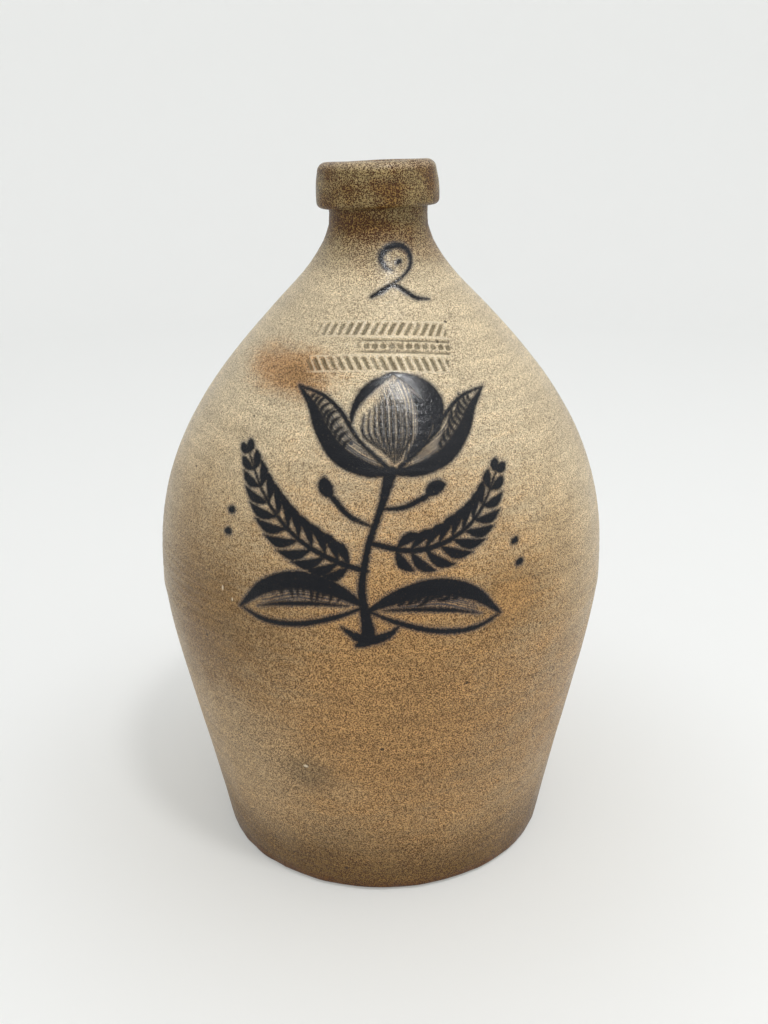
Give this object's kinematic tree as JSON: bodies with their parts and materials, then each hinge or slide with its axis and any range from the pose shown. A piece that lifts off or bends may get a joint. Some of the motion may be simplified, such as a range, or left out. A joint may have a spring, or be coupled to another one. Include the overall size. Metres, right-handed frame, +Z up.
{
  "type": "stoneware jug",
  "caption": "Ovoid salt-glazed stoneware jug with a narrow collared mouth for a cork, a strap handle at the back and brushed blue decoration in front, for holding liquid.",
  "frame": {"origin": "centre of the foot, on the surface that the jug stands on", "axes": "+Z up along the jug's axis, the decorated front faces -Y, the strap handle is at the back on +Y, +X is to the right seen from the front"},
  "size_m": [0.2344, 0.2344, 0.3572],
  "materials": {
    "stoneware": "salt-glazed stoneware, satin with a fine orange-peel texture",
    "brown_slip": "glossy dark brown slip glaze",
    "cobalt_slip": "brushed cobalt slip under the salt glaze"
  },
  "bodies": {
    "root": {"lower_body": "stoneware", "upper_body": "stoneware", "seam_coil": "stoneware", "collar": "stoneware", "slip_lining": "brown_slip", "strap_handle": "stoneware", "top_luting": "stoneware", "foot_luting": "stoneware"}
  },
  "joints": []
}
